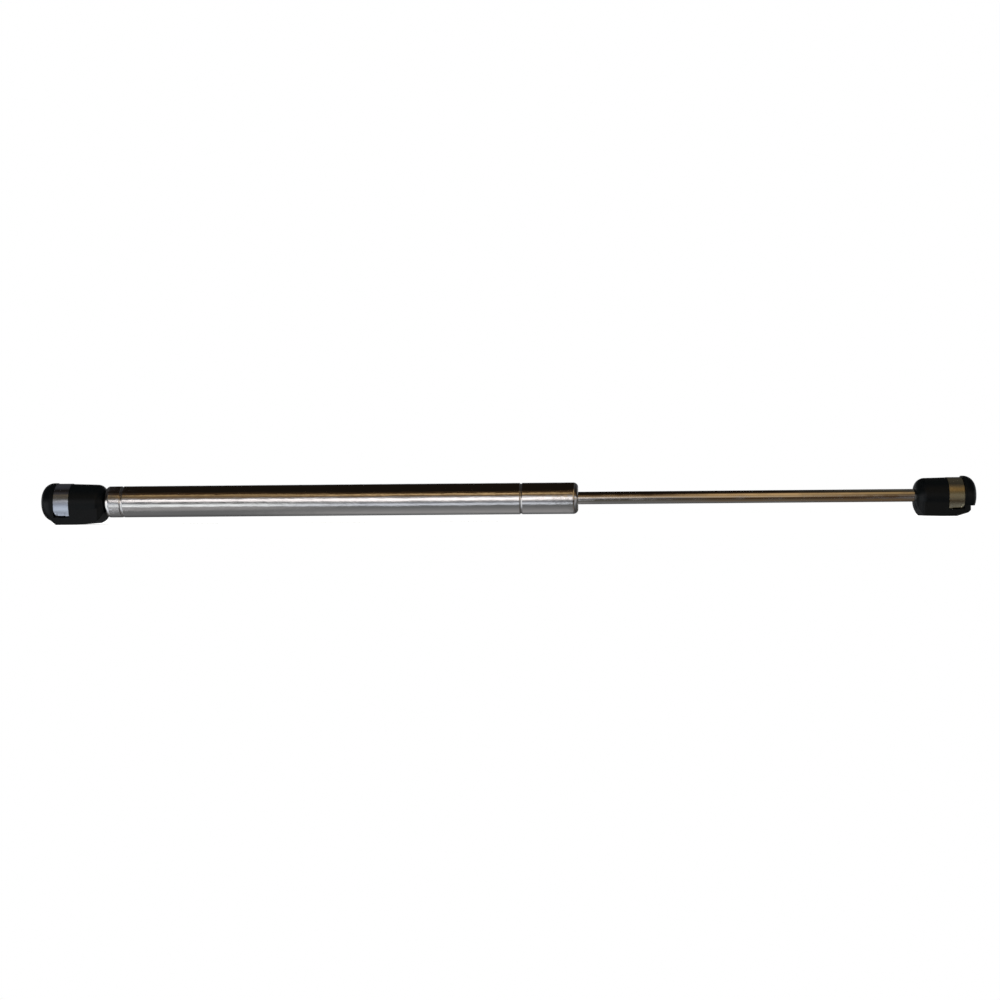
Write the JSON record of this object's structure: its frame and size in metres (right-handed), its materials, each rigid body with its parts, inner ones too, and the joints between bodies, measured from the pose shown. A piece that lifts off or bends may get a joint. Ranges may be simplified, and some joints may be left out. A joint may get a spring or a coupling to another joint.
{
  "type": "gas strut",
  "caption": "Stainless gas strut for a window, shutter or hatch: a slim rod slides out of a plain tube, with a black clip-on ball socket at each end.",
  "frame": {"origin": "centre of the ball seat in the tube-end socket", "axes": "+X along the strut from the tube end to the rod end, +Z away from the ball mouths, which both open along -Z, +Y completes the right-handed frame"},
  "size_m": [0.443, 0.0185, 0.02],
  "materials": {
    "tube_stainless": "drawn stainless steel tube, polished with a fine lengthwise grain",
    "rod_stainless": "ground and polished stainless steel rod",
    "socket_nylon": "black glass-filled nylon, as moulded",
    "tube_clip_steel": "bright zinc-plated spring steel strip",
    "rod_clip_steel": "spring steel strip with a faint yellow passivation",
    "turned_steel": "turned or stamped steel",
    "die_cast_zinc": "die-cast zinc, machined on its fits",
    "bronze_liner": "porous bronze bearing liner",
    "seal_rubber": "nitrile rubber",
    "ptfe": "white PTFE",
    "ring_compound": "carbon-filled PTFE"
  },
  "bodies": {
    "cylinder": {"pressure_tube": "tube_stainless", "end_plug": "turned_steel", "end_plug_o_ring": "seal_rubber", "seal_support_washer": "turned_steel", "rod_lip_seal": "seal_rubber", "seal_backup_ring": "ptfe", "rod_guide_housing": "die_cast_zinc", "rod_guide_liner": "bronze_liner", "wiper_ring": "seal_rubber", "end_washer": "turned_steel", "tube_end_socket": "socket_nylon"},
    "tube_clip": {"tube_end_clip": "tube_clip_steel"},
    "floating_ring": {"piston_ring": "ring_compound"},
    "rod": {"piston_rod": "rod_stainless", "piston_body": "die_cast_zinc", "piston_support_disc": "turned_steel", "piston_valve_disc": "turned_steel", "rivet_washer": "turned_steel", "rod_end_socket": "socket_nylon"},
    "rod_clip": {"rod_end_clip": "rod_clip_steel"}
  },
  "joints": [
    {"name": "rod_slide", "type": "slide", "parent": "cylinder", "child": "floating_ring", "axis": [1, 0, 0], "range_m": [-0.15, 0], "stiffness_N_per_m": 200, "springref_m": 0.5},
    {"name": "rod_spin", "type": "hinge", "parent": "floating_ring", "child": "rod", "pos_m": [0.21, 0, 0], "axis": [1, 0, 0], "continuous": true},
    {"name": "tube_clip_lift", "type": "slide", "parent": "cylinder", "child": "tube_clip", "axis": [0, 0, 1], "range_m": [0, 0.003]},
    {"name": "rod_clip_lift", "type": "slide", "parent": "rod", "child": "rod_clip", "axis": [0, 0, 1], "range_m": [0, 0.003]}
  ]
}
